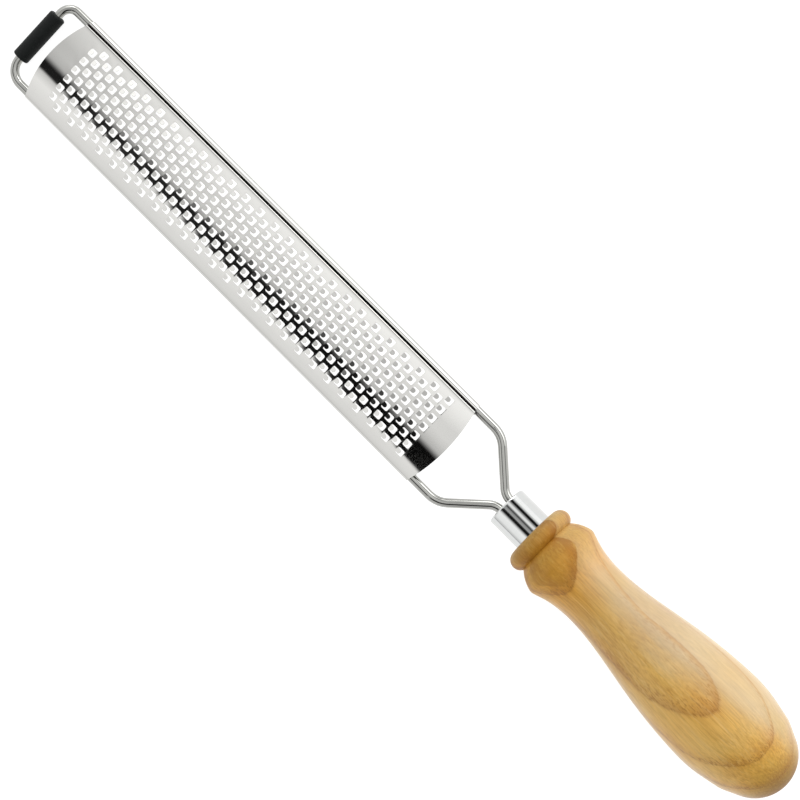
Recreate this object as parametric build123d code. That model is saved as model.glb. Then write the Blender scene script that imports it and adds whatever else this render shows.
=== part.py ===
from build123d import *
import math
import os

# Rasp zester lying on a table, teeth up, +X from the tip to the butt of the handle.
# The pieces are drawn in the tool's own frame, where x is 0 at the front face of the
# ferrule and z is 0 in the plane of the frame's centre line. They are then tipped together
# until the rubber foot and the bulb of the handle both touch the table.

# Frame: one bent rod
wire_d = 3.2
rail_spacing = 32.0            # between the centre lines of the two side rails
crossbar_from_ferrule = 228.3  # from the ferrule's face to the crossbar's centre line
open_tip_bend_r = 4.5          # on the open hem's side, +Y
closed_tip_bend_r = 6.3        # on the closed hem's side, -Y
leg_bend_from_ferrule = 17.3   # where the rails turn inwards
leg_bend_r = 9.5
neck_bend_from_ferrule = 2.35  # where the legs turn straight again
neck_bend_r = 6.0
tang_spacing = 4.6
tang_end = 52.0                # how far the two ends reach past the ferrule's face

# Foot: rubber sleeve on the crossbar
foot_d = 6.2
foot_length = 19.8
foot_edge_r = 0.7
foot_fit = 0.05
foot_shift = 0.4               # towards +Y, clear of the wider bend

# Blade: one arched sheet with both long edges rolled round the rails
sheet_t = 0.3
arch_r = 40.0                  # to the middle of the sheet
arch_rise = 5.2                # crown of the sheet over the rails' centre line
blade_from_ferrule = 26.9      # to the crown of the blade's rear end
blade_length = 193.3           # along the crown
end_crown = 3.0                # how far each end bows out
hem_fit = 0.05
fold_r = 0.35                  # tight fold beside the open hem, to the middle of the sheet
open_hem_gap = 0.75            # between that fold and the hem's free edge
closed_hem_turn = 255.0        # degrees that the closed hem wraps

# Teeth: staggered square openings, each with a half-round tongue
column_pitch = 3.5
column_pairs = 25
row_pitch = 4.1
long_column_rows = 7
opening = 2.7
tongue_w = 1.65
tongue_length = 1.7
tongue_t = 0.22                # etched thinner than the sheet, for its edge
tongue_lift = 13.0             # degrees
tongue_root = 0.1              # how far a tongue's root runs into the sheet
cutter_reach = 2.0             # depth of the tools that cut the openings

# Ferrule: drawn cup
ferrule_d = 15.0
ferrule_length = 13.25
ferrule_wall = 0.6
ferrule_face_t = 0.9
ferrule_edge_r = 0.7
ferrule_hole_fit = 0.1

# Handle: turned ash, distances from the face that the ferrule butts on
tenon_fit = 0.08
tenon_end_gap = 0.2
bore_d = 8.6
bore_depth = 56.0              # from the ferrule's face
bead_w = 6.4
bead_d = 25.8
bead_face_d = 20.6
groove_d = 22.2
flare_at = 9.8
flare_d = 26.9
ridge_at = 13.0
ridge_d = 29.1
ridge_w = 0.9
cove_at = 18.6
cove_d = 26.1
neck_at = 29.0
neck_d = 23.6
waist_at = 46.5
waist_d = 27.3
swell_at = 62.4
swell_d = 32.9
bulb_at = 83.0
bulb_d = 36.9
rear_at = 94.0
rear_d = 36.0
shoulder_at = 101.9
shoulder_d = 32.8
cap_at = 109.7                 # where the round nose begins
nose_r = 14.6                  # centred on the axis
butt_at = 118.0

# Resin that sets the rod's ends in the bore
resin_fit = 0.03
resin_end_gap = 1.0

# One overrun serves every cut
overrun = 5.0

wire_r = wire_d / 2
rail_y = rail_spacing / 2
tang_y = tang_spacing / 2


def framePath():
    """Centre line of the rod, from one end in the handle round the tip to the other."""
    one_side = [
        (tang_end, tang_y),
        (-neck_bend_from_ferrule, tang_y),
        (-leg_bend_from_ferrule, rail_y),
        (-crossbar_from_ferrule, rail_y),
    ]
    other_side = [(x, -y) for x, y in reversed(one_side)]
    radii = [neck_bend_r, leg_bend_r, open_tip_bend_r, closed_tip_bend_r, leg_bend_r, neck_bend_r]
    return FilletPolyline(*one_side, *other_side, radius=radii)


def makeFrame(rod_r):
    path = framePath()
    start = Plane(origin=path @ 0, z_dir=path % 0)
    return sweep(start * Circle(rod_r), path=path)


def makeFoot():
    """Sleeve on the crossbar, its axis along Y."""
    end_y = foot_length / 2 + foot_shift
    place = Plane(origin=(-crossbar_from_ferrule, end_y, 0), z_dir=(0, -1, 0))
    sleeve = extrude(place * Circle(foot_d / 2), foot_length)
    sleeve = fillet(sleeve.edges().filter_by(GeomType.CIRCLE), foot_edge_r)
    return sleeve - extrude(place * Circle(wire_r + foot_fit), foot_length)


# The blade's section is drawn as seen from the handle, with its x towards -Y. Its open hem is
# on the +Y rail: there the sheet folds back over the rail, passes inside and under it, and its
# free edge comes up over the outside. Its closed hem on the -Y rail goes over the top and ends
# inside.
hem_r = wire_r + hem_fit + sheet_t / 2
arch_z = arch_rise - arch_r
rail_reach = math.hypot(rail_y, arch_z)
rail_lean = math.atan2(rail_y, -arch_z)
tangent_lean = rail_lean - math.acos((arch_r - hem_r) / rail_reach)
fold_cosine = (rail_reach**2 + (arch_r - fold_r) ** 2 - (fold_r + hem_r) ** 2) / (
    2 * rail_reach * (arch_r - fold_r)
)
fold_lean = rail_lean - math.acos(fold_cosine)
fold_y = -(arch_r - fold_r) * math.sin(fold_lean)
fold_z = arch_z + (arch_r - fold_r) * math.cos(fold_lean)


def sectionSide(shift):
    """Edges of one face of the sheet, shifted from its middle towards the teeth."""
    up = 90.0
    full = 360.0
    fold_start = math.degrees(fold_lean) + up
    hem_start = math.degrees(math.atan2(fold_z, fold_y + rail_y))
    fold_end = hem_start + full / 2
    free_edge_y = fold_y - fold_r - sheet_t / 2 - open_hem_gap + rail_y
    hem_end = math.degrees(math.acos(free_edge_y / hem_r))
    line_end = up - math.degrees(tangent_lean)
    normal = Vector(math.sin(tangent_lean), math.cos(tangent_lean))
    rail = Vector(rail_y, 0)
    arch_centre = Vector(0, arch_z)
    return [
        CenterArc(-rail, hem_r - shift, hem_end - full, hem_start + full - hem_end),
        CenterArc((fold_y, fold_z), fold_r + shift, fold_start, fold_end - fold_start),
        CenterArc(arch_centre, arch_r + shift, line_end, fold_start - line_end),
        Line(arch_centre + normal * (arch_r + shift), rail + normal * (hem_r + shift)),
        CenterArc(rail, hem_r + shift, line_end - closed_hem_turn, closed_hem_turn),
    ]


def closedSection():
    top = sectionSide(sheet_t / 2)
    under = sectionSide(-sheet_t / 2)
    free_edge = Line(top[0] @ 0, under[0] @ 0)
    inner_edge = Line(top[-1] @ 0, under[-1] @ 0)
    return make_face(top + under + [free_edge, inner_edge])


def makeSheet():
    rear = -blade_from_ferrule
    front = rear - blade_length
    half_w = rail_y + hem_r + sheet_t
    section = Plane(origin=(rear + overrun, 0, 0), x_dir=(0, -1, 0), z_dir=(-1, 0, 0))
    sheet = extrude(section * closedSection(), blade_length + 2 * overrun)
    outline = make_face(
        [
            ThreePointArc((rear - end_crown, -half_w), (rear, 0), (rear - end_crown, half_w)),
            Line((rear - end_crown, half_w), (front + end_crown, half_w)),
            ThreePointArc((front + end_crown, half_w), (front, 0), (front + end_crown, -half_w)),
            Line((front + end_crown, -half_w), (rear - end_crown, -half_w)),
        ]
    )
    return sheet & extrude(outline, arch_r, both=True)


def onSheet(along, across):
    """Plane on the middle of the sheet, its x along the tool and its z out of the sheet.
    across is measured over the sheet towards -Y."""
    lean = min(across / arch_r, tangent_lean)
    slope = across - lean * arch_r
    y = arch_r * math.sin(lean) + slope * math.cos(lean)
    z = arch_z + arch_r * math.cos(lean) - slope * math.sin(lean)
    normal = (0, -math.sin(lean), math.cos(lean))
    return Plane(origin=(along, -y, z), x_dir=(1, 0, 0), z_dir=normal)


def toothPlaces():
    """The toothed grid, in columns of one row fewer and of all the rows in turn."""
    middle = -blade_from_ferrule - blade_length / 2
    first = middle - column_pitch * (2 * column_pairs - 1) / 2
    places = []
    for column in range(2 * column_pairs):
        rows = long_column_rows - (column + 1) % 2
        for row in range(rows):
            across = (row - (rows - 1) / 2) * row_pitch
            places.append(onSheet(first + column * column_pitch, across))
    return places


def makeOpening():
    return extrude(Rectangle(opening, opening), cutter_reach / 2, both=True)


def makeTongue():
    """Half-round tongue on the tip side of an opening, its free end lifted."""
    round_x = tongue_length - tongue_w / 2
    shape = Pos((round_x - tongue_root) / 2, 0) * Rectangle(round_x + tongue_root, tongue_w)
    shape += Pos(round_x, 0) * Circle(tongue_w / 2)
    slab = extrude(shape, tongue_t / 2, both=True)
    return Pos(-opening / 2, 0, 0) * Rot(0, -tongue_lift, 0) * slab


def makeBlade():
    places = toothPlaces()
    cutter = makeOpening()
    tongue = makeTongue()
    sheet = makeSheet().cut(*[place * cutter for place in places])
    return sheet.fuse(*[place * tongue for place in places])


def makeFerrule():
    """Cup with its closed face towards the blade and a hole for each end of the rod."""
    face = Plane.YZ
    cup = extrude(face * Circle(ferrule_d / 2), ferrule_length)
    cup = fillet(cup.edges().group_by(Axis.X)[0], ferrule_edge_r)
    inside = face.offset(ferrule_face_t) * Circle(ferrule_d / 2 - ferrule_wall)
    cup -= extrude(inside, ferrule_length)
    for y in (tang_y, -tang_y):
        hole = Circle(wire_r + ferrule_hole_fit)
        cup -= Pos(0, y, 0) * extrude(face.offset(-overrun) * hole, 2 * overrun)
    return cup


def makeHandle():
    """Turned profile in the XZ plane, spun about the tool's axis, with the tenon and bore."""
    face = ferrule_length
    tenon_x = ferrule_face_t + tenon_end_gap
    tenon_r = ferrule_d / 2 - ferrule_wall - tenon_fit
    groove = (face + bead_w, groove_d / 2)
    bead_face = (face, bead_face_d / 2)
    ridge = (face + ridge_at, ridge_d / 2)
    stations = [
        (ridge_at + ridge_w, ridge_d),
        (cove_at, cove_d),
        (neck_at, neck_d),
        (waist_at, waist_d),
        (swell_at, swell_d),
        (bulb_at, bulb_d),
        (rear_at, rear_d),
        (shoulder_at, shoulder_d),
    ]
    cap_x = cap_at - (butt_at - nose_r)
    cap_r = math.sqrt(nose_r**2 - cap_x**2)
    body = [(face + x, d / 2) for x, d in stations] + [(face + cap_at, cap_r)]
    butt = (face + butt_at, 0)
    nose_turn = math.degrees(math.atan2(cap_r, cap_x))
    profile = [
        Line((tenon_x, 0), (tenon_x, tenon_r)),
        Line((tenon_x, tenon_r), (face, tenon_r)),
        Line((face, tenon_r), bead_face),
        ThreePointArc(bead_face, (face + bead_w / 2, bead_d / 2), groove),
        ThreePointArc(groove, (face + flare_at, flare_d / 2), ridge),
        Line(ridge, body[0]),
        Spline(*body, tangents=[(flare_at, cove_d - ridge_d), (cap_r, -cap_x)]),
        CenterArc((butt[0] - nose_r, 0), nose_r, 0, nose_turn),
        Line(butt, (tenon_x, 0)),
    ]
    wood = revolve(Plane.XZ * make_face(profile), Axis.X)
    bore = extrude(Plane.YZ * Circle(bore_d / 2), bore_depth)
    return wood - bore


def makeResin(rod):
    """Plug that fills the bore round the two ends of the rod."""
    start = ferrule_face_t + tenon_end_gap
    length = bore_depth - resin_end_gap - start
    return extrude(Plane.YZ.offset(start) * Circle(bore_d / 2 - resin_fit), length) - rod


def lowest(shape, tip):
    return (Rot(0, -tip, 0) * shape).bounding_box().min.Z


def restAngle(foot, handle):
    """Angle at which the foot and the bulb reach equally low, found by repeated tipping."""
    span = crossbar_from_ferrule + ferrule_length + bulb_at
    tip = 0.0
    for _ in range(6):
        tip += math.degrees((lowest(foot, tip) - lowest(handle, tip)) / span)
    return tip


def main():
    rod = makeFrame(wire_r)
    foot = makeFoot()
    handle = makeHandle()
    pieces = {
        "grater_blade": makeBlade(),
        "wire_frame": rod,
        "tip_foot": foot,
        "ferrule": makeFerrule(),
        "handle": handle,
        "bore_resin": makeResin(makeFrame(wire_r + resin_fit)),
    }
    turn = Rot(0, -restAngle(foot, handle), 0)
    laid = {name: turn * piece for name, piece in pieces.items()}
    box = Compound(list(laid.values())).bounding_box()
    seat = Pos(-box.center().X, -box.center().Y, -box.min.Z)
    os.makedirs("parts", exist_ok=True)
    for name, piece in laid.items():
        placed = seat * piece
        export_step(placed, f"parts/{name}.step")
        print(name, len(placed.solids()), round(placed.volume, 1))
    print("rest angle", round(restAngle(foot, handle), 4), "box", box.size)
    print("seat", tuple(round(v, 3) for v in seat.position))


main()
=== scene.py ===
import math

import bmesh
import bpy
from mathutils import Matrix, Vector


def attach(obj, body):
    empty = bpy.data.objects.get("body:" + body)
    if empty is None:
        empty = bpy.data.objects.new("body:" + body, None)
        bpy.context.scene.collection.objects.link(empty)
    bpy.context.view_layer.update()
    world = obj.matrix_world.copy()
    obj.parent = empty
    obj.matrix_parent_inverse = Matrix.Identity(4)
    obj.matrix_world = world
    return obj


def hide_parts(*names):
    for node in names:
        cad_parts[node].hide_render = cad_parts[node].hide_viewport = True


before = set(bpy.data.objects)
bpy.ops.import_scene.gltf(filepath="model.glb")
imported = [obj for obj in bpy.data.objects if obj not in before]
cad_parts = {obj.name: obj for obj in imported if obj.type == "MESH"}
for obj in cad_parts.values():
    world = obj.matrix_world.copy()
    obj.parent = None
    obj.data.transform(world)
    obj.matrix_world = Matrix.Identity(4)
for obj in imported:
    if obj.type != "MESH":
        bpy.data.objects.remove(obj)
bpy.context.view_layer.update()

mm = 0.001
white = (1.0, 1.0, 1.0)

# How the tool lies: drawn along X with the ferrule's front face at 0, then tipped and moved
lie = {
    "tip": math.radians(2.70775),
    "seat": Vector((50.0127, 0.0, 13.8852)),  # mm
}
toolPlace = (
    Matrix.Translation(lie["seat"] * mm)
    @ Matrix.Rotation(-lie["tip"], 4, "Y")
    @ Matrix.Scale(mm, 4)
)


# Small helpers for node trees

def addNode(tree, kind, inputs=None, **settings):
    node = tree.nodes.new(kind)
    for name, value in settings.items():
        setattr(node, name, value)
    for key, value in (inputs or {}).items():
        if isinstance(value, bpy.types.NodeSocket):
            tree.links.new(value, node.inputs[key])
        else:
            node.inputs[key].default_value = value
    return node


def calc(tree, operation, first, second=0.0, third=0.0, clamp=False):
    node = addNode(
        tree, "ShaderNodeMath", {0: first, 1: second, 2: third},
        operation=operation, use_clamp=clamp,
    )
    return node.outputs[0]


def product(tree, first, *others):
    for value in others:
        first = calc(tree, "MULTIPLY", first, value)
    return first


def vectorCalc(tree, operation, inputs):
    return addNode(tree, "ShaderNodeVectorMath", inputs, operation=operation).outputs[0]


def separate(tree, vector):
    return addNode(tree, "ShaderNodeSeparateXYZ", {"Vector": vector}).outputs


def opaque(colour):
    # Three numbers get their alpha, a socket or a single number stays as it is
    return (*colour, 1.0) if isinstance(colour, tuple) else colour


def blendColours(tree, factor, first, second, how="MIX"):
    node = addNode(
        tree, "ShaderNodeMix", {0: factor, 6: opaque(first), 7: opaque(second)},
        data_type="RGBA", blend_type=how,
    )
    return node.outputs[2]


def tint(tree, tone, shade, factor=1.0):
    return blendColours(tree, factor, tone, shade, "MULTIPLY")


def colourRamp(tree, factor, stops):
    node = addNode(tree, "ShaderNodeValToRGB", {"Fac": factor})
    ramp = node.color_ramp
    while len(ramp.elements) < len(stops):
        ramp.elements.new(0.5)
    for element, (place, tone) in zip(ramp.elements, stops):
        element.position = place
        element.color = opaque(tone if isinstance(tone, tuple) else (tone,) * 3)
    return node.outputs["Color"]


def spread(tree, value, low, high, fromLow=0.0, fromHigh=1.0, smooth=False):
    node = addNode(
        tree, "ShaderNodeMapRange",
        {"Value": value, "From Min": fromLow, "From Max": fromHigh, "To Min": low, "To Max": high},
        interpolation_type="SMOOTHSTEP" if smooth else "LINEAR",
    )
    return node.outputs["Result"]


def between(tree, value, rise, fall, smooth=True):
    # 1 past the rise and before the fall, each given as where it begins and where it ends
    risen = spread(tree, value, 0.0, 1.0, *rise, smooth)
    return product(tree, risen, spread(tree, value, 1.0, 0.0, *fall, smooth))


def profile(tree, value, stops):
    # A ramp whose stops are places in the value's own units
    low, high = stops[0][0], stops[-1][0]
    place = spread(tree, value, 0.0, 1.0, low, high)
    return colourRamp(tree, place, [((at - low) / (high - low), tone) for at, tone in stops])


def toolCoordinates(tree, along=1.0, around=1.0):
    # Object coordinates turned back to the tool's own axes, in mm, then stretched
    back = Matrix.Rotation(lie["tip"], 3, "Y")
    place = addNode(tree, "ShaderNodeMapping", {
        "Vector": addNode(tree, "ShaderNodeTexCoord").outputs["Object"],
        "Scale": (1 / mm, 1 / mm, 1 / mm),
        "Rotation": (0.0, lie["tip"], 0.0),
        "Location": -(back @ lie["seat"]),
    }).outputs[0]
    if along == around == 1.0:
        return place
    return addNode(
        tree, "ShaderNodeMapping", {"Vector": place, "Scale": (along, around, around)}
    ).outputs[0]


def noise(tree, scale, detail, roughness=0.5, **stretch):
    node = addNode(tree, "ShaderNodeTexNoise", {
        "Vector": toolCoordinates(tree, **stretch),
        "Scale": scale, "Detail": detail, "Roughness": roughness,
    })
    return node.outputs["Fac"]


def sway(tree, pattern, reach, base):
    # The base, moved either way as the pattern swings about its middle
    return calc(tree, "MULTIPLY_ADD", calc(tree, "SUBTRACT", pattern, 0.5), 2 * reach, base)


def newMaterial(name, fixed):
    material = bpy.data.materials.new(name)
    material.use_nodes = True
    tree = material.node_tree
    shader = tree.nodes["Principled BSDF"]
    for label, value in fixed.items():
        shader.inputs[label].default_value = opaque(value)
    return material, tree, shader


def dressShader(tree, shader, look, tone, polish, relief):
    # The roughness follows the polish, the bumps follow the relief
    strength, depth = look["relief"]
    bumps = addNode(tree, "ShaderNodeBump", {"Height": relief, "Strength": strength, "Distance": depth})
    tree.links.new(tone, shader.inputs["Base Color"])
    tree.links.new(spread(tree, polish, *look["roughness"]), shader.inputs["Roughness"])
    tree.links.new(bumps.outputs["Normal"], shader.inputs["Normal"])


# Finishes. A pattern is a noise, its scale in waves per mm; relief is a strength and a depth in m

def hemGrooveShade(tree):
    # Painted shade: 1 in the groove between the open hem's free edge and the fold, which is darkened to
    # nearly black there
    groove = {
        "across": ((15.42, 15.52), (16.20, 16.28)),   # Y where it begins and where it ends
        "along": ((-218.6, -217.6), (-29.6, -28.8)),  # and X
    }
    x, y, z = separate(tree, toolCoordinates(tree))
    return product(
        tree,
        between(tree, y, *groove["across"], smooth=False),
        between(tree, x, *groove["along"], smooth=False),
        calc(tree, "GREATER_THAN", z, 0.0),
    )


def makeBladeSteel():
    look = {
        "pale": (0.61, 0.605, 0.585),
        "dim": (0.57, 0.565, 0.545),
        # The colour of the painted shade in the open hem's groove
        "grooveShade": (0.020, 0.020, 0.017),
        "cloud": {"scale": 0.08, "detail": 3.0},
        "rolled": {"scale": 6.0, "detail": 3.0, "along": 0.02},  # rolling lines
        "roughness": (0.03, 0.07),
        "relief": (0.015, 0.00002),
    }
    material, tree, shader = newMaterial("polishedBladeSteel", {"Metallic": 1.0})
    rolled = noise(tree, **look["rolled"])
    tone = blendColours(tree, noise(tree, **look["cloud"]), look["pale"], look["dim"])
    # Painted shade: the open hem's groove is darkened to nearly black
    tone = blendColours(tree, hemGrooveShade(tree), tone, look["grooveShade"])
    dressShader(tree, shader, look, tone, rolled, rolled)
    return material


def makeRodSteel():
    look = {
        "pale": (0.44, 0.44, 0.42),
        "dim": (0.36, 0.36, 0.34),
        # The colour of the painted shade in the open hem's groove
        "grooveShade": (0.020, 0.020, 0.017),
        "cloud": {"scale": 0.25, "detail": 2.0},
        "drawn": {"scale": 4.0, "detail": 4.0, "along": 0.15},  # drawing lines
        "roughness": (0.04, 0.10),
        "relief": (0.06, 0.00002),
    }
    material, tree, shader = newMaterial("drawnRodSteel", {"Metallic": 1.0})
    drawn = noise(tree, **look["drawn"])
    tone = blendColours(tree, noise(tree, **look["cloud"]), look["pale"], look["dim"])
    # Painted shade: the open hem's groove is darkened to nearly black
    tone = blendColours(tree, hemGrooveShade(tree), tone, look["grooveShade"])
    dressShader(tree, shader, look, tone, drawn, drawn)
    return material


def makeFerruleChrome():
    look = {
        "pale": (0.67, 0.68, 0.67),
        "dim": (0.62, 0.63, 0.625),
        "smear": {"scale": 0.9, "detail": 4.0, "around": 0.35},
        "rings": {"scale": 9.0, "detail": 2.0, "around": 0.02},  # left by the drawing of the cup
        "roughness": (0.015, 0.045),
        "relief": (0.015, 0.00002),
    }
    material, tree, shader = newMaterial("ferruleChrome", {"Metallic": 1.0})
    smear = noise(tree, **look["smear"])
    tone = blendColours(tree, smear, look["pale"], look["dim"])
    dressShader(tree, shader, look, tone, smear, noise(tree, **look["rings"]))
    return material


def makeFootRubber():
    look = {
        "dark": (0.004, 0.005, 0.005),
        "worn": (0.012, 0.014, 0.013),
        "cloud": {"scale": 0.35, "detail": 3.0},
        "grain": {"scale": 3.5, "detail": 4.0, "roughness": 0.6},
        "roughness": (0.48, 0.70),
        "relief": (0.35, 0.00008),
    }
    material, tree, shader = newMaterial("footRubber", {"IOR": 1.5, "Specular IOR Level": 0.15})
    cloud = noise(tree, **look["cloud"])
    tone = blendColours(tree, cloud, look["dark"], look["worn"])
    dressShader(tree, shader, look, tone, cloud, noise(tree, **look["grain"]))
    return material


def makeBoreResin():
    look = {
        "clear": (0.62, 0.42, 0.16),
        "cloudy": (0.80, 0.66, 0.38),
        "cloud": {"scale": 0.4, "detail": 4.0},
    }
    material, tree, shader = newMaterial("boreResin", {"Roughness": 0.32, "IOR": 1.55})
    tone = blendColours(tree, noise(tree, **look["cloud"]), look["clear"], look["cloudy"])
    tree.links.new(tone, shader.inputs["Base Color"])
    return material


# Wood: year rings that the turned shape cuts open, with a dark heart, a +Y side painted paler as painted
# sheen, and open pores

ash = {
    "ringWidth": 7.6,      # mm between two years' porous bands
    "ringStart": -3.1,     # where one band lies, on the same scale
    "ringSlope": 0.224,    # the layers sink towards the butt,
    "ringHollow": 0.009,   # curve up to the sides
    "ringLean": -0.31,     # and lean to -Y at the ferrule,
    "ringTwist": 0.0045,   # turning to +Y along the handle
    "wander": 0.9,         # how far the bands stray, mm
    "ripple": 0.26,
    "patterns": {
        "wander": {"scale": 0.07, "detail": 2.0, "along": 0.35},
        "ripple": {"scale": 0.6, "detail": 3.0, "along": 0.25},
        "streak": {"scale": 1.6, "detail": 5.0, "roughness": 0.65, "along": 0.03},
        "broad": {"scale": 0.16, "detail": 2.0, "along": 0.10},
        "fleck": {"scale": 0.9, "detail": 3.0, "roughness": 0.6, "along": 0.07},
        "pore": {"scale": 2.6, "detail": 2.0, "along": 0.20},
    },
    "ringTones": [         # from one porous band to the next
        (0.00, (0.430, 0.195, 0.028)), (0.03, (0.500, 0.238, 0.034)),
        (0.10, (0.580, 0.292, 0.045)), (0.18, (0.625, 0.330, 0.056)),
        (0.28, (0.690, 0.385, 0.078)), (0.45, (0.710, 0.420, 0.100)),
        (0.85, (0.700, 0.400, 0.085)), (0.97, (0.650, 0.355, 0.066)),
        (1.00, (0.520, 0.255, 0.042)),
    ],
    "washes": [            # pattern, strength, the pattern's values where it starts and is full
        ("streak", 0.85, (0.42, 0.72), (0.50, 0.245, 0.040)),
        ("broad", 0.40, (0.42, 0.75), (0.76, 0.48, 0.13)),
        ("fleck", 0.40, (0.52, 0.78), (0.84, 0.60, 0.24)),
    ],
    "endGrainFrom": (121.0, 132.0),
    "endGrain": (0.640, 0.350, 0.075),
    "endGrainShade": (0.74, 0.70, 0.60),
    "heartEdge": (4.2, 4.7),      # above these layers the wood is darker,
    "heartTilt": 0.33,            # less so on the -Y side,
    "heartFade": (4.9, 8.4),      # and less again further in,
    "heartDepth": (0.95, 0.55),   # by these amounts
    "heartShade": (0.72, 0.63, 0.48),
    # Painted sheen: towards +Y the wood is painted paler and less saturated, standing in for the sheen of
    # the light on that side
    "paintedSheen": (0.545, 0.430, 0.275),
    "paintedSheenDepth": 0.66,
    "paintedSheenAcross": (-2.0, 7.5),  # between these places, towards +Y, the wood turns paler,
    "paintedSheenSway": 4.0,            # give or take so much,
    "paintedSheenFrom": (24.0, 40.0),   # fully from here on along the handle,
    "paintedSheenNear": 0.4,            # this much before it,
    "paintedSheenTurn": (70.0, 0.16),   # drawing back to the side past here, by so much per mm,
    "paintedSheenInBand": 0.5,          # and this much in a porous band,
    "bandEdge": (0.03, 0.12),      # which ends here
    # Painted light: a paler patch on the -Y side of the bulb
    "bulbPaintedLight": (0.95, 0.70, 0.25),
    "bulbPaintedLightDepth": 0.12,
    "bulbAlong": ((64.0, 80.0), (106.0, 118.0)),  # where the patch begins and where it ends
    "bulbAcross": ((-12.0, -8.0), (-6.0, -1.0)),
    # Partly the wood's own drift, partly painted shade: the darkest stops at the bead (13.2) and towards
    # the butt's end
    "driftAndShade": [  # place along the handle, and what the colour is multiplied by there, with the gain
        (13.2, (0.40, 0.42, 0.42)), (16.5, (0.54, 0.48, 0.31)), (18.5, (0.58, 0.47, 0.20)),
        (20.0, (0.60, 0.54, 0.30)), (22.0, (0.50, 0.45, 0.21)), (25.0, (0.54, 0.475, 0.23)),
        (28.0, (0.71, 0.62, 0.34)), (32.0, (0.74, 0.66, 0.40)), (35.0, (0.77, 0.68, 0.45)),
        (40.0, (0.73, 0.66, 0.51)), (50.0, (0.68, 0.68, 0.68)), (65.0, (0.67, 0.68, 0.71)),
        (78.0, (0.73, 0.76, 0.80)), (92.0, (0.76, 0.75, 0.69)), (108.0, (0.77, 0.79, 0.79)),
        (120.0, (0.75, 0.71, 0.52)), (127.0, (0.61, 0.60, 0.43)), (131.3, (0.42, 0.38, 0.08)),
    ],
    "driftGain": 1.30,
    "paintedSheenDrift": (0.68, 0.68, 0.60),  # the painted sheen's own drift goes no lower
    "fibre": (1.05, 0.95),       # how light and how dark single fibres are,
    "fibreEdge": (0.35, 0.65),   # and the streak's values that they follow
    "pore": (0.33, 0.130, 0.010),
    "poreDepth": 0.75,
    "poreEdge": (0.52, 0.62),
    "poreCrowding": [            # from one porous band to the next
        (0.00, 1.0), (0.10, 0.9), (0.22, 0.30), (0.45, 0.14), (0.96, 0.10), (1.00, 0.9),
    ],
    "poresFilled": 0.8,          # by the painted sheen
    "varnish": (0.55, 0.05),     # on the sides, and on the end grain, which drinks it up
    "sheen": (0.45, 0.0),
    "varnishFrom": (24.0, 38.0),  # nearer the ferrule it is thin,
    "varnishNear": 0.25,          # down to this share,
    "sheenNear": 0.0,             # and the sheen to this
    "roughness": (0.42, 0.58),
    "relief": (0.3, 0.00008),
    "fibreHeight": 0.3,          # beside a pore's depth of 1
}


def ashRings(tree, look, patterns, x, y, z):
    # The layer of the tree that a place lies in, and its share of the way between two porous bands
    lean = calc(tree, "MULTIPLY_ADD", x, look["ringTwist"], look["ringLean"])
    layer = calc(tree, "MULTIPLY_ADD", product(tree, y, y), look["ringHollow"], z)
    layer = calc(tree, "MULTIPLY_ADD", y, lean, layer)
    layer = calc(tree, "MULTIPLY_ADD", x, -look["ringSlope"], layer)
    for name in ("wander", "ripple"):
        layer = sway(tree, patterns[name], look[name], layer)
    years = calc(tree, "DIVIDE", calc(tree, "SUBTRACT", layer, look["ringStart"]), look["ringWidth"])
    return layer, calc(tree, "FRACT", years)


def ashPaintedSheen(tree, look, broad, x, y, heart):
    # How strongly the painted sheen shows: towards +Y the wood is painted paler, standing in for the
    # sheen of the light on that side
    turnAt, turnSlope = look["paintedSheenTurn"]
    past = calc(tree, "MAXIMUM", calc(tree, "SUBTRACT", x, turnAt), 0.0)
    across = calc(tree, "MULTIPLY_ADD", past, -turnSlope, sway(tree, broad, look["paintedSheenSway"], y))
    return product(
        tree,
        spread(tree, across, 0.0, look["paintedSheenDepth"], *look["paintedSheenAcross"], smooth=True),
        spread(tree, x, look["paintedSheenNear"], 1.0, *look["paintedSheenFrom"]),
        calc(tree, "SUBTRACT", 1.0, heart),
    )


def ashDriftAndShade(tree, look, streak, x):
    # The colour drifts along the handle and from fibre to fibre, in the wood and in its painted sheen;
    # along the handle the drift also paints shade at the bead and at the butt
    driftAndShade = profile(tree, x, look["driftAndShade"])
    atLeast = vectorCalc(tree, "MAXIMUM", {0: driftAndShade, 1: look["paintedSheenDrift"]})
    gain = product(tree, spread(tree, streak, *look["fibre"], *look["fibreEdge"]), look["driftGain"])
    return [vectorCalc(tree, "SCALE", {0: value, "Scale": gain}) for value in (driftAndShade, atLeast)]


def ashPores(tree, look, pore, year, paintedSheen):
    # Open pores: short dashes along the grain, crowded in the porous band
    return product(
        tree,
        spread(tree, pore, 0.0, 1.0, *look["poreEdge"]),
        colourRamp(tree, year, look["poreCrowding"]),
        calc(tree, "MULTIPLY_ADD", paintedSheen, -look["poresFilled"], 1.0),
    )


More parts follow.
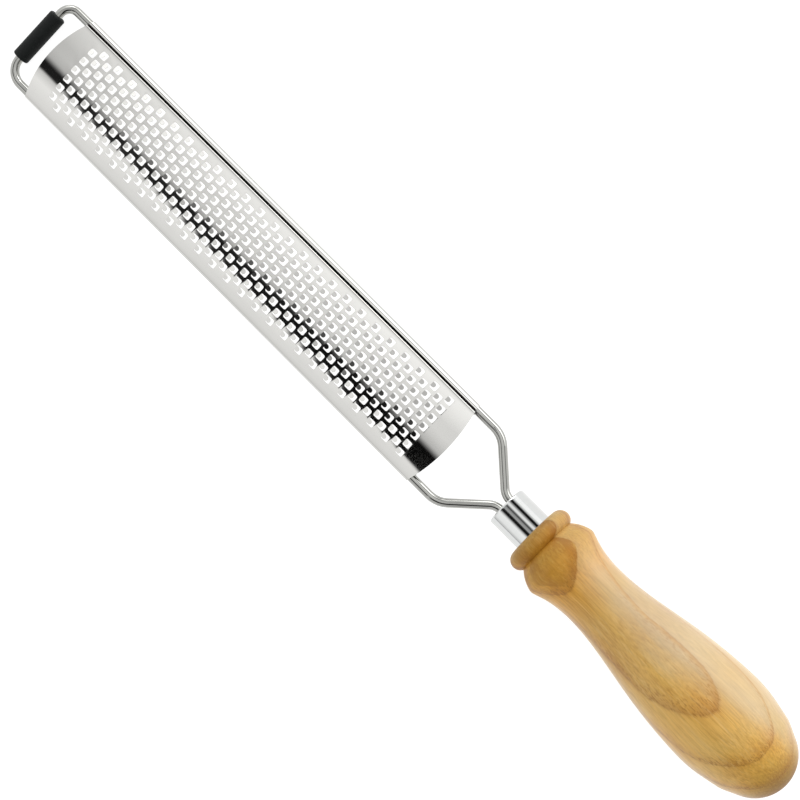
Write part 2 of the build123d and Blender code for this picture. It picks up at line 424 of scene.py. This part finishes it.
def makeAsh(look):
    material, tree, shader = newMaterial("turnedAsh", {
        "Specular IOR Level": 0.25, "Coat Roughness": 0.32, "Sheen Roughness": 0.35,
    })
    patterns = {name: noise(tree, **settings) for name, settings in look["patterns"].items()}
    x, y, z = separate(tree, toolCoordinates(tree))
    layer, year = ashRings(tree, look, patterns, x, y, z)
    endGrain = spread(tree, x, 0.0, 1.0, *look["endGrainFrom"], smooth=True)
    tone = blendColours(tree, endGrain, colourRamp(tree, year, look["ringTones"]), look["endGrain"])

    # The dark heart
    heartLayer = calc(tree, "MULTIPLY_ADD", calc(tree, "MINIMUM", y, 0.0), look["heartTilt"], layer)
    heart = spread(tree, heartLayer, 0.0, 1.0, *look["heartEdge"], smooth=True)
    heartDepth = spread(tree, heartLayer, *look["heartDepth"], *look["heartFade"], smooth=True)
    tone = tint(tree, tone, look["heartShade"], product(tree, heart, heartDepth))

    for name, strength, edge, colour in look["washes"]:
        tone = blendColours(tree, spread(tree, patterns[name], 0.0, strength, *edge), tone, colour)

    # Painted light: a paler patch on the -Y side of the bulb
    bulbLight = product(
        tree,
        between(tree, x, *look["bulbAlong"]),
        between(tree, y, *look["bulbAcross"]),
        look["bulbPaintedLightDepth"],
    )
    tone = blendColours(tree, bulbLight, tone, look["bulbPaintedLight"])
    tone = tint(tree, tone, look["endGrainShade"], endGrain)

    # The drift along the handle holds painted shade at the bead and at the butt
    driftAndShade, paintedSheenDrift = ashDriftAndShade(tree, look, patterns["streak"], x)
    # Painted sheen: the +Y side is painted paler
    paintedSheen = ashPaintedSheen(tree, look, patterns["broad"], x, y, heart)
    overBand = spread(tree, year, look["paintedSheenInBand"], 1.0, *look["bandEdge"])
    tone = blendColours(
        tree, product(tree, paintedSheen, overBand),
        tint(tree, tone, driftAndShade), tint(tree, look["paintedSheen"], paintedSheenDrift),
    )
    openPore = ashPores(tree, look, patterns["pore"], year, paintedSheen)
    tone = blendColours(tree, product(tree, openPore, look["poreDepth"]), tone, look["pore"])
    height = calc(tree, "SUBTRACT", product(tree, patterns["streak"], look["fibreHeight"]), openPore)
    dressShader(tree, shader, look, tone, patterns["streak"], height)
    for label, amounts, near in (
        ("Coat Weight", look["varnish"], look["varnishNear"]),
        ("Sheen Weight", look["sheen"], look["sheenNear"]),
    ):
        thin = spread(tree, x, near, 1.0, *look["varnishFrom"])
        tree.links.new(product(tree, spread(tree, endGrain, *amounts), thin), shader.inputs[label])
    return material


bladeSteel = makeBladeSteel()
rodSteel = makeRodSteel()
ferruleChrome = makeFerruleChrome()
footRubber = makeFootRubber()
boreResin = makeBoreResin()
turnedAsh = makeAsh(ash)
print("finishes made")


def placeObject(name, data):
    obj = bpy.data.objects.new(name, data)
    bpy.context.scene.collection.objects.link(obj)
    return obj


def finishPiece(obj, name, material, node, part):
    # The evaluated modifiers become a plain mesh that lies where the tool lies
    bpy.context.view_layer.update()
    mesh = bpy.data.meshes.new_from_object(obj.evaluated_get(bpy.context.evaluated_depsgraph_get()))
    bpy.data.objects.remove(obj)
    shape = bmesh.new()
    shape.from_mesh(mesh)
    bmesh.ops.remove_doubles(shape, verts=shape.verts, dist=part["doubles"])
    bmesh.ops.recalc_face_normals(shape, faces=shape.faces)
    shape.to_mesh(mesh)
    shape.free()
    mesh.transform(toolPlace)
    mesh.materials.clear()
    mesh.materials.append(material)
    mesh.polygons.foreach_set("use_smooth", [True] * len(mesh.polygons))
    mesh.set_sharp_from_angle(angle=part["sharpAbove"])
    mesh.update()
    mesh.name = name
    piece = placeObject(name, mesh)
    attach(piece, "root")
    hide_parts(node)
    print(name, len(mesh.polygons), "faces")


# Blade: a flat blank with a window, which Geometry Nodes fill with teeth and bend on the section

blade = {
    "thickness": 0.3,
    "archRadius": 40.0,
    "archRise": 5.2,
    "rearEnd": -26.9,
    "length": 193.3,
    "endCrown": 3.0,
    "halfWidth": 18.1,
    "railY": 16.0,
    "hemRadius": 1.8,        # to the middle of the sheet
    "foldRadius": 0.35,
    "openHemGap": 0.75,
    "closedHemTurn": math.radians(255.0),
    "columnPitch": 3.5,
    "columnPairs": 25,
    "rowPitch": 4.1,
    "longRows": 7,
    "opening": 2.7,
    "openingCorner": 0.55,
    "tongueWidth": 1.65,
    "tongueLength": 1.72,
    "tongueRoot": 0.1,       # how far its root runs into the sheet
    "tongueLift": math.radians(13.0),
    # How fine the section is drawn, and how many cells the sheet has across each stretch of it
    "drawnSteps": {"hem": 160, "fold": 60, "arch": 400},
    "openHemCells": 30,
    "foldCells": 9,
    "straightCells": 2,
    "closedHemCells": 24,
    "endCells": 4,           # from the teeth to each end
    "fieldMargin": 0.2,      # no cell beside the teeth is narrower
    "cornerSteps": 3,
    "tongueSteps": 8,
    "weld": 0.01,            # points nearer than this are one, before the bend
    "doubles": 0.002,        # and after it
    "sharpAbove": math.radians(35.0),
}


def arcPoints(centre, radius, start, turn, steps):
    return [
        Vector((
            centre[0] + radius * math.cos(start + turn * i / steps),
            centre[1] + radius * math.sin(start + turn * i / steps),
        ))
        for i in range(steps + 1)
    ]


def bladeSection(part):
    # The sheet's middle line from the open hem's free edge to the closed hem's inner edge.
    # First coordinate towards -Y, second up. Also gives the places where the sheet's grid has lines.
    radius, fold, hem, rail = part["archRadius"], part["foldRadius"], part["hemRadius"], part["railY"]
    archZ = part["archRise"] - radius
    reach = math.hypot(rail, archZ)
    railLean = math.atan2(rail, -archZ)
    tangentLean = railLean - math.acos((radius - hem) / reach)
    cosine = (reach**2 + (radius - fold) ** 2 - (fold + hem) ** 2) / (2 * reach * (radius - fold))
    foldLean = railLean - math.acos(cosine)
    foldAt = Vector((-(radius - fold) * math.sin(foldLean), archZ + (radius - fold) * math.cos(foldLean)))
    hemStart = math.atan2(foldAt.y, foldAt.x + rail)
    freeEdge = foldAt.x - fold - part["thickness"] / 2 - part["openHemGap"] + rail
    hemEnd = math.acos(freeEdge / hem) - 2 * math.pi
    up = math.pi / 2
    lineStart = Vector((radius * math.sin(tangentLean), archZ + radius * math.cos(tangentLean)))
    lineEnd = Vector((rail + hem * math.sin(tangentLean), hem * math.cos(tangentLean)))
    foldTurn = hemStart + math.pi - (up + foldLean)
    archTurn = -(foldLean + tangentLean)
    drawn = part["drawnSteps"]
    runs = [
        (arcPoints((-rail, 0), hem, hemEnd, hemStart - hemEnd, drawn["hem"]), part["openHemCells"]),
        (arcPoints(foldAt, fold, hemStart + math.pi, -foldTurn, drawn["fold"]), part["foldCells"]),
        (arcPoints((0, archZ), radius, up + foldLean, archTurn, drawn["arch"]), 0),
        ([lineStart, lineEnd], part["straightCells"]),
        (
            arcPoints((rail, 0), hem, up - tangentLean, -part["closedHemTurn"], drawn["hem"]),
            part["closedHemCells"],
        ),
    ]
    points, lines, length, crest = [], [], 0.0, 0.0
    for run, cells in runs:
        runLength = sum((b - a).length for a, b in zip(run, run[1:]))
        if cells:
            lines += [length + runLength * i / cells for i in range(cells + 1)]
        else:
            crest = length + radius * foldLean
        length += runLength
        points += run if not points else run[1:]
    decimals = 6  # two runs that meet share a line
    lines = sorted({round(v - crest, decimals) for v in lines})
    return points, lines, crest


def gridMesh(name, alongLines, acrossLines, keep):
    # A flat sheet with lines at the given places, without the cells that keep() refuses
    shape = bmesh.new()
    rows = [[shape.verts.new((x, v, 0)) for v in acrossLines] for x in alongLines]
    for i in range(len(alongLines) - 1):
        for j in range(len(acrossLines) - 1):
            middle = (
                (alongLines[i] + alongLines[i + 1]) / 2,
                (acrossLines[j] + acrossLines[j + 1]) / 2,
            )
            if keep(*middle):
                shape.faces.new((rows[i][j], rows[i + 1][j], rows[i + 1][j + 1], rows[i][j + 1]))
    bmesh.ops.delete(shape, geom=[v for v in shape.verts if not v.link_faces], context="VERTS")
    mesh = bpy.data.meshes.new(name)
    shape.to_mesh(mesh)
    shape.free()
    return mesh


def bladeBlank(part, lines):
    pitch, half = part["columnPitch"], part["rowPitch"] / 2
    fieldX = pitch * part["columnPairs"]
    fieldV = half * part["longRows"]
    border = part["length"] / 2 - fieldX
    cells = part["endCells"]
    end = [fieldX + border * i / cells for i in range(1, cells + 1)]
    columns = [-fieldX + pitch * i for i in range(2 * part["columnPairs"] + 1)]
    along = [-v for v in reversed(end)] + columns + end
    rows = [-fieldV + half * i for i in range(2 * part["longRows"] + 1)]
    clear = fieldV + part["fieldMargin"]
    across = [v for v in lines if v < -clear] + rows + [v for v in lines if v > clear]
    return gridMesh("bladeBlank", along, across, lambda x, v: abs(x) > fieldX or abs(v) > fieldV)


def toothCell(part):
    # One pitch of sheet round an opening, with its tongue on the tip side
    halfX, halfV = part["columnPitch"] / 2, part["rowPitch"] / 2
    hole, corner = part["opening"] / 2, part["openingCorner"]
    tongue, length = part["tongueWidth"] / 2, part["tongueLength"]
    quarter = math.pi / 2
    shape = bmesh.new()
    outer = [(-halfX, -halfV), (halfX, -halfV), (halfX, 0), (halfX, halfV), (-halfX, halfV), (-halfX, 0)]
    inner = []
    for n, (a, b) in enumerate([(1, -1), (1, 1), (-1, 1), (-1, -1)]):
        centre = (a * (hole - corner), b * (hole - corner))
        inner += arcPoints(centre, corner, quarter * (n - 1), quarter, part["cornerSteps"])
    for loop in (outer, inner):
        verts = [shape.verts.new((x, v, 0)) for x, v in loop]
        for a, b in zip(verts, verts[1:] + verts[:1]):
            shape.edges.new((a, b))
    bmesh.ops.triangle_fill(shape, edges=shape.edges[:], use_beauty=True)

    def lifted(reach, v):
        lift = part["tongueLift"]
        return shape.verts.new((-hole + reach * math.cos(lift), v, reach * math.sin(lift)))

    root = [lifted(-part["tongueRoot"], v) for v in (tongue, -tongue)]
    flap = arcPoints((length - tongue, 0), tongue, -quarter, math.pi, part["tongueSteps"])
    shape.faces.new(root + [lifted(p.x, p.y) for p in flap])
    for face in shape.faces:
        if face.normal.z < 0:
            face.normal_flip()
    mesh = bpy.data.meshes.new("toothCell")
    shape.normal_update()
    shape.to_mesh(mesh)
    shape.free()
    return mesh


def curveObject(name, points):
    data = bpy.data.curves.new(name, "CURVE")
    data.dimensions = "3D"
    spline = data.splines.new("POLY")
    spline.points.add(len(points) - 1)
    for point, place in zip(spline.points, points):
        point.co = (*place, 1.0)
    return placeObject(name, data)


def newGeometryTree(name, inputs):
    tree = bpy.data.node_groups.new(name, "GeometryNodeTree")
    tree.interface.new_socket("Geometry", in_out="INPUT", socket_type="NodeSocketGeometry")
    for label, kind in inputs:
        tree.interface.new_socket(label, in_out="INPUT", socket_type="NodeSocket" + kind)
    tree.interface.new_socket("Geometry", in_out="OUTPUT", socket_type="NodeSocketGeometry")
    return tree


def giveTree(obj, tree, values):
    modifier = obj.modifiers.new(tree.name, "NODES")
    modifier.node_group = tree
    for item in tree.interface.items_tree:
        if item.item_type == "SOCKET" and item.in_out == "INPUT" and item.name in values:
            modifier[item.identifier] = values[item.name]


def flatSheet(tree, given):
    # The blank with its window filled: teeth in columns of two lengths in turn
    pairs, rows = given["Column pairs"], given["Long rows"]
    pitch, rowPitch = given["Column pitch"], given["Row pitch"]
    halfPitch = calc(tree, "DIVIDE", pitch, 2.0)
    gridLength = product(tree, calc(tree, "SUBTRACT", pairs, 1.0), pitch, 2.0)
    toLong, toShort = 1.0, -1.0

    def rowSpan(fewer):
        return product(tree, calc(tree, "SUBTRACT", rows, fewer), rowPitch)

    def field(rowCount, gridWidth, side, cell):
        # Copies of a cell on a grid of points, moved half a pitch towards its own columns
        grid = addNode(tree, "GeometryNodeMeshGrid", {
            "Size X": gridLength, "Size Y": gridWidth, "Vertices X": pairs, "Vertices Y": rowCount,
        }).outputs["Mesh"]
        copies = addNode(tree, "GeometryNodeInstanceOnPoints", {"Points": grid, "Instance": cell})
        move = addNode(tree, "ShaderNodeCombineXYZ", {"X": product(tree, halfPitch, side)})
        return addNode(
            tree, "GeometryNodeTransform", {"Geometry": copies.outputs[0], "Translation": move.outputs[0]}
        ).outputs[0]

    tooth = addNode(tree, "GeometryNodeObjectInfo", {"Object": given["Tooth cell"]}).outputs["Geometry"]
    plain = addNode(tree, "GeometryNodeMeshGrid", {
        "Size X": pitch, "Size Y": calc(tree, "DIVIDE", rowPitch, 2.0), "Vertices X": 2, "Vertices Y": 2,
    }).outputs["Mesh"]
    longField = field(rows, rowSpan(1.0), toLong, tooth)
    shortField = field(calc(tree, "SUBTRACT", rows, 1.0), rowSpan(2.0), toShort, tooth)
    shortEnds = field(2, rowSpan(0.5), toShort, plain)
    joined = addNode(tree, "GeometryNodeJoinGeometry")
    for piece in (shortEnds, shortField, longField, given["Geometry"]):
        tree.links.new(piece, joined.inputs[0])
    flat = addNode(tree, "GeometryNodeRealizeInstances", {"Geometry": joined.outputs[0]}).outputs[0]
    return addNode(
        tree, "GeometryNodeMergeByDistance", {"Geometry": flat, "Distance": given["Weld"]}
    ).outputs[0]


def bentPlaces(tree, given):
    # Where the flat sheet's points go: Y is a length along the section, Z a height above the sheet
    at = separate(tree, addNode(tree, "GeometryNodeInputPosition").outputs[0])
    section = addNode(tree, "GeometryNodeObjectInfo", {"Object": given["Section"]}).outputs["Geometry"]
    sample = addNode(tree, "GeometryNodeSampleCurve", {
        "Curves": section, "Length": calc(tree, "ADD", at["Y"], given["Crest at"]),
    }, mode="LENGTH").outputs
    outward = vectorCalc(tree, "CROSS_PRODUCT", {0: sample["Tangent"], 1: (1.0, 0.0, 0.0)})
    raised = vectorCalc(tree, "SCALE", {0: outward, "Scale": at["Z"]})
    side = separate(tree, vectorCalc(tree, "ADD", {0: sample["Position"], 1: raised}))

    # Both ends bow out
    fieldEnd = product(tree, given["Column pairs"], given["Column pitch"])
    past = calc(tree, "SUBTRACT", calc(tree, "ABSOLUTE", at["X"]), fieldEnd)
    past = calc(tree, "DIVIDE", past, calc(tree, "SUBTRACT", given["Half length"], fieldEnd), clamp=True)
    bow = calc(tree, "DIVIDE", calc(tree, "ABSOLUTE", side["Y"]), given["Half width"])
    bow = product(tree, calc(tree, "POWER", bow, 2.0), given["End crown"], past)
    x = calc(tree, "SUBTRACT", at["X"], product(tree, bow, calc(tree, "SIGN", at["X"])))
    return addNode(tree, "ShaderNodeCombineXYZ", {
        "X": calc(tree, "ADD", x, given["Middle"]), "Y": side["Y"], "Z": side["Z"],
    }).outputs[0]


def bladeTree():
    tree = newGeometryTree("toothedBlade", [
        ("Tooth cell", "Object"), ("Section", "Object"), ("Crest at", "Float"),
        ("Column pairs", "Int"), ("Long rows", "Int"),
        ("Column pitch", "Float"), ("Row pitch", "Float"), ("Weld", "Float"), ("Middle", "Float"),
        ("Half length", "Float"), ("Half width", "Float"), ("End crown", "Float"),
        ("Steel", "Material"),
    ])
    given = addNode(tree, "NodeGroupInput").outputs
    bent = addNode(tree, "GeometryNodeSetPosition", {
        "Geometry": flatSheet(tree, given), "Position": bentPlaces(tree, given),
    })
    whole = addNode(tree, "GeometryNodeRealizeInstances", {"Geometry": bent.outputs[0]})
    dressed = addNode(tree, "GeometryNodeSetMaterial", {
        "Geometry": whole.outputs[0], "Material": given["Steel"],
    })
    addNode(tree, "NodeGroupOutput", {0: dressed.outputs[0]})
    return tree


def makeBlade(part):
    points, lines, crest = bladeSection(part)
    section = curveObject("bladeSection", [(0.0, -p.x, p.y) for p in points])
    cell = placeObject("toothCell", toothCell(part))
    blank = placeObject("bladeBlank", bladeBlank(part, lines))
    giveTree(blank, bladeTree(), {
        "Tooth cell": cell, "Section": section, "Crest at": crest,
        "Column pairs": part["columnPairs"], "Long rows": part["longRows"],
        "Column pitch": part["columnPitch"], "Row pitch": part["rowPitch"], "Weld": part["weld"],
        "Middle": part["rearEnd"] - part["length"] / 2, "Half length": part["length"] / 2,
        "Half width": part["halfWidth"], "End crown": part["endCrown"], "Steel": bladeSteel,
    })
    wall = blank.modifiers.new("sheetThickness", "SOLIDIFY")
    wall.thickness = part["thickness"]
    wall.offset = 0.0
    finishPiece(blank, "toothedBlade", bladeSteel, "grater_blade", part)
    for helper in (section, cell):
        bpy.data.objects.remove(helper)


makeBlade(blade)


# Handle: a turned profile, distances from the face that the ferrule butts on

handle = {
    "face": 13.25,
    "tenon": (1.1, 6.82),           # where it starts and its radius
    "bore": (56.0, 4.3),            # where it ends and its radius
    "bead": (6.4, 12.9, 10.3),      # width, radius of the crown and of the face
    "groove": 11.1,
    "flare": (9.8, 13.45),
    "ridge": (13.0, 0.9, 14.55),    # place, width, radius
    "body": [
        (18.6, 13.05), (29.0, 11.8), (46.5, 13.65), (62.4, 16.45),
        (83.0, 18.45), (94.0, 18.0), (101.9, 16.4),
    ],
    "nose": (109.7, 118.0, 14.6),   # where it begins, where it ends, its radius
    "coveSlope": -3.0 / 9.8,        # of the profile as it leaves the ridge
    "nosePull": 2.564,              # how strongly the nose's slope holds the profile before it
    "around": 128,
    "steps": {"bead": 18, "flare": 10, "body": 10, "nose": 18},
    "seam": 0.001,                  # points nearer than this are one on the lathe,
    "doubles": 0.002,               # and after it
    "sharpAbove": math.radians(50.0),
}


def arcThrough(start, middle, end, steps):
    # Points of the circle through three points
    (ax, ay), (bx, by), (cx, cy) = start, middle, end
    d = 2 * (ax * (by - cy) + bx * (cy - ay) + cx * (ay - by))
    ux = ((ax**2 + ay**2) * (by - cy) + (bx**2 + by**2) * (cy - ay) + (cx**2 + cy**2) * (ay - by)) / d
    uy = ((ax**2 + ay**2) * (cx - bx) + (bx**2 + by**2) * (ax - cx) + (cx**2 + cy**2) * (bx - ax)) / d
    radius = math.hypot(ax - ux, ay - uy)
    first = math.atan2(ay - uy, ax - ux)
    last = math.atan2(cy - uy, cx - ux)
    if last > first:
        last -= 2 * math.pi
    return arcPoints((ux, uy), radius, first, last - first, steps)


def smoothRun(stations, firstSlope, lastSlope, lastPull, steps, rounds=60):
    # A curve through the stations without a step in its slope or bend: tangents by relaxation
    points = [Vector(station) for station in stations]
    spans = [(b - a).length for a, b in zip(points, points[1:])]
    tangents = [Vector((0.0, 0.0)) for _ in points]
    tangents[0] = Vector((1.0, firstSlope)).normalized()
    tangents[-1] = lastPull * Vector((1.0, lastSlope)).normalized()
    for _ in range(rounds):
        for i in range(1, len(points) - 1):
            h0, h1 = spans[i - 1], spans[i]
            pull = 3 * ((points[i] - points[i - 1]) / h0**2 + (points[i + 1] - points[i]) / h1**2)
            tangents[i] = (pull - tangents[i - 1] / h0 - tangents[i + 1] / h1) / (2 / h0 + 2 / h1)
    run = []
    for i, h in enumerate(spans):
        for j in range(steps):
            u = j / steps
            run.append(
                points[i] * (1 + 2 * u) * (1 - u) ** 2
                + tangents[i] * h * u * (1 - u) ** 2
                + points[i + 1] * u**2 * (3 - 2 * u)
                + tangents[i + 1] * h * u**2 * (u - 1)
            )
    return run + [points[-1]]


def turnOnLathe(name, outline, around, seam):
    # Edges in the XZ plane, turned about X by a Screw modifier
    mesh = bpy.data.meshes.new(name)
    edges = [(i, i + 1) for i in range(len(outline) - 1)]
    mesh.from_pydata([(along, 0.0, radius) for along, radius in outline], edges, [])
    obj = placeObject(name, mesh)
    turn = obj.modifiers.new("turned", "SCREW")
    turn.axis = "X"
    turn.steps = turn.render_steps = around
    turn.use_merge_vertices = True
    turn.merge_threshold = seam
    turn.use_normal_calculate = True
    return obj


def makeHandle(part):
    face, steps = part["face"], part["steps"]
    beadWidth, beadRadius, beadFace = part["bead"]
    ridgeAt, ridgeWidth, ridgeRadius = part["ridge"]
    groove = (beadWidth, part["groove"])
    noseAt, butt, noseRadius = part["nose"]
    noseX = noseAt - (butt - noseRadius)
    noseR = math.sqrt(noseRadius**2 - noseX**2)
    noseTurn = math.atan2(noseR, noseX)
    body = [(ridgeAt + ridgeWidth, ridgeRadius)] + part["body"] + [(noseAt, noseR)]
    bead = arcThrough((0, beadFace), (beadWidth / 2, beadRadius), groove, steps["bead"])
    # The flare is hollow: its arc bends the other way round
    flare = arcThrough(groove, part["flare"], (ridgeAt, ridgeRadius), steps["flare"])
    run = smoothRun(body, part["coveSlope"], -noseX / noseR, part["nosePull"], steps["body"])
    nose = arcPoints((butt - noseRadius, 0), noseRadius, noseTurn, -noseTurn, steps["nose"])
    boreEnd, boreRadius = part["bore"]
    tenonAt, tenonRadius = part["tenon"]
    outline = [
        (boreEnd, 0), (boreEnd, boreRadius), (tenonAt, boreRadius),
        (tenonAt, tenonRadius), (face, tenonRadius),
    ]
    outline += [(face + p.x, max(p.y, 0.0)) for p in bead + flare[1:] + run + nose[1:]]
    obj = turnOnLathe("turnedHandle", outline, part["around"], part["seam"])
    finishPiece(obj, "turnedHandle", turnedAsh, "handle", part)


makeHandle(handle)

# The rest keeps its CAD shape and gets its own finish
for nodeName, material in {
    "wire_frame": rodSteel,
    "ferrule": ferruleChrome,
    "tip_foot": footRubber,
    "bore_resin": boreResin,
}.items():
    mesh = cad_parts[nodeName].data
    for i in range(len(mesh.materials)):
        mesh.materials[i] = material
    print(nodeName, "dressed")


# Studio: a pale light table below and a soft sky with one long dark strip above.
# Directions are in the tool's own axes: X is -1 towards the tip and 1 towards the butt, and an
# angle is in degrees, from overhead towards -Y.

studio = {
    "floorSize": 40.0,       # m
    "floorGlow": 0.86,
    "floorPaint": 0.35,
    "floorRoughness": 0.9,
    "skyStrength": 1.0,
    "panels": [              # angle and brightness: soft panels on both sides and overhead
        (-180, 0.90), (-120, 3.4), (-62, 3.4), (-56, 1.30), (-51, 0.30), (-44, 0.30),
        (-38, 1.15), (-32, 1.34), (-26, 1.28), (-17, 1.18), (-8, 1.02), (3, 1.03),
        (9, 0.94), (15, 0.78), (22, 0.60), (28, 0.95), (38, 1.30), (48, 1.20), (60, 1.00),
        (72, 0.95), (95, 0.75), (180, 0.70),
    ],
    "along": [               # X and how bright the panels are there,
        (-1.00, 1.00), (-0.74, 1.40), (-0.66, 1.35), (-0.58, 0.80), (-0.53, 0.60),
        (-0.46, 0.60), (-0.36, 0.76), (-0.279, 0.80), (-0.262, 0.90), (-0.235, 0.97),
        (-0.18, 1.05), (-0.12, 1.10), (-0.10, 1.09), (0.10, 1.10), (0.30, 1.00), (1.00, 1.00),
    ],
    "alongUpTo": (22.0, 34.0),  # up to these angles
    "pastButt": [(0.2, 1.0), (0.45, 0.85), (0.7, 0.30), (1.0, 0.10)],
    # The strip lies between the overhead panel and the one on the -Y side: X and angle
    "stripNear": [
        (-0.70, 19), (-0.52, 15), (-0.40, 14), (-0.289, 14.6), (-0.2, 17.4), (-0.165, 17.9),
        (-0.096, 21.0), (0.3, 22),
    ],
    "stripFar": [
        (-0.70, 15), (-0.62, 22), (-0.52, 34), (-0.40, 27), (-0.289, 27), (-0.27, 27.3),
        (-0.247, 29.4), (-0.224, 32.4), (-0.2, 35.0), (-0.096, 45.7), (0.3, 46),
    ],
    "stripSoftness": (4.0, 1.8),  # degrees either way, on the near and on the far edge
    "stripAbove": 0.1,            # it fades below this height
    "stripTone": [
        (-1.0, 0.010), (-0.29, 0.014), (-0.279, 0.016), (-0.262, 0.026), (-0.247, 0.032),
        (-0.224, 0.027), (-0.2, 0.018), (-0.176, 0.013), (-0.152, 0.009), (-0.128, 0.006),
        (-0.108, 0.003), (1.0, 0.003),
    ],
    "slats": [               # angle and brightness: narrower panels, which the ferrule sees
        (-180, 0.9), (-132, 1.05), (-113, 1.25), (-90, 1.40), (-70, 1.35), (-60, 0.66),
        (-54, 0.01), (-45, 0.0), (-37, 0.50), (-31, 1.10), (-23, 1.08), (-17, 0.22),
        (-11, 0.06), (-6, 0.38), (4, 0.50), (9.5, 0.02), (20, 0.0), (25, 0.25), (30, 0.80),
        (38, 1.25), (68, 1.15), (82, 0.80), (98, 0.25), (118, 0.05), (180, 0.3),
    ],
    "slatsAlong": ((-0.085, -0.074), (-0.045, -0.025)),
    "plainEnds": (0.90, 0.97),
}


def makeFloor(part):
    half = part["floorSize"] / 2
    corners = [(-half, -half, 0), (half, -half, 0), (half, half, 0), (-half, half, 0)]
    mesh = bpy.data.meshes.new("floor")
    mesh.from_pydata(corners, [], [(0, 1, 2, 3)])
    material, *_ = newMaterial("paleFloor", {
        "Base Color": (part["floorPaint"],) * 3,
        "Roughness": part["floorRoughness"],
        "Specular IOR Level": 0.0,
        "Emission Color": white,
        "Emission Strength": part["floorGlow"],
    })
    mesh.materials.append(material)
    floor = placeObject("floor", mesh)


def makeSky(part):
    world = bpy.data.worlds.new("softSky")
    bpy.context.scene.world = world
    world.use_nodes = True
    tree = world.node_tree
    background = tree.nodes["Background"]
    turned = addNode(tree, "ShaderNodeMapping", {
        "Vector": addNode(tree, "ShaderNodeTexCoord").outputs["Generated"],
        "Rotation": (0.0, lie["tip"], 0.0),
    })
    x, y, z = separate(tree, turned.outputs[0])
    angle = calc(tree, "DEGREES", calc(tree, "ARCTAN2", product(tree, y, -1.0), z))

    # The soft panels, darker towards the tip and past the butt
    beside = spread(tree, angle, 0.0, 1.0, *part["alongUpTo"], smooth=True)
    along = blendColours(tree, beside, profile(tree, x, part["along"]), white)
    sky = tint(tree, profile(tree, angle, part["panels"]), along)
    sky = tint(tree, sky, profile(tree, x, part["pastButt"]))

    # The dark strip
    nearSoft, farSoft = part["stripSoftness"]
    fromNear = calc(tree, "SUBTRACT", angle, profile(tree, x, part["stripNear"]))
    toFar = calc(tree, "SUBTRACT", profile(tree, x, part["stripFar"]), angle)
    strip = product(
        tree,
        spread(tree, fromNear, 0.0, 1.0, -nearSoft, nearSoft, smooth=True),
        spread(tree, toFar, 0.0, 1.0, -farSoft, farSoft, smooth=True),
        spread(tree, z, 0.0, 1.0, 0.0, part["stripAbove"]),
    )
    sky = blendColours(tree, strip, sky, profile(tree, x, part["stripTone"]))

    overFerrule = between(tree, x, *part["slatsAlong"])
    sky = blendColours(tree, overFerrule, sky, profile(tree, angle, part["slats"]))
    # Plain where all angles meet, behind the tip and behind the butt
    ends = spread(tree, calc(tree, "ABSOLUTE", x), 0.0, 1.0, *part["plainEnds"], smooth=True)
    sky = blendColours(tree, ends, sky, white)
    tree.links.new(sky, background.inputs["Color"])
    background.inputs["Strength"].default_value = part["skyStrength"]


makeFloor(studio)
makeSky(studio)


# Camera: above the blade, leaning a little to the handle and to the +Y side

view = {
    "aim": Vector((-50.41, -0.09, 0.0)),  # mm, on the tool's axis
    "distance": 1000.0,
    "towardsHandle": math.radians(6.84),
    "towardsPlusY": math.radians(9.26),
    "turn": math.radians(-0.338),
    "focal": 2959.0,                      # pixels of an 800 pixel frame
    "frame": 800.0,
    "levelCosine": 0.70277,               # how the level drawing of the tool lies in the picture
    "levelSine": 0.71142,
    "sensor": 36.0,
    "clip": (0.01, 50.0),                 # m
}


def makeCamera(part):
    a, b, c = part["towardsHandle"], part["towardsPlusY"], part["turn"]
    out = Vector((math.sin(a), math.cos(a) * math.sin(b), math.cos(a) * math.cos(b)))
    along = Vector((math.cos(a), -math.sin(a) * math.sin(b), -math.sin(a) * math.cos(b)))
    down = Vector((0.0, -math.cos(b), math.sin(b)))
    along, down = (
        math.cos(c) * along - math.sin(c) * down,
        math.sin(c) * along + math.cos(c) * down,
    )
    right = part["levelCosine"] * along - part["levelSine"] * down
    up = -(part["levelSine"] * along + part["levelCosine"] * down)
    turn = Matrix((right, up, out)).transposed().to_4x4()
    turn.translation = part["aim"] + part["distance"] * out
    place = toolPlace @ turn
    data = bpy.data.cameras.new("camera")
    data.sensor_width = part["sensor"]
    data.lens = part["focal"] / part["frame"] * part["sensor"]
    data.clip_start, data.clip_end = part["clip"]
    camera = placeObject("camera", data)
    camera.matrix_world = Matrix.LocRotScale(place.translation, place.to_quaternion(), None)
    bpy.context.scene.camera = camera


makeCamera(view)
bpy.context.scene.view_settings.view_transform = "Standard"
print("studio ready")
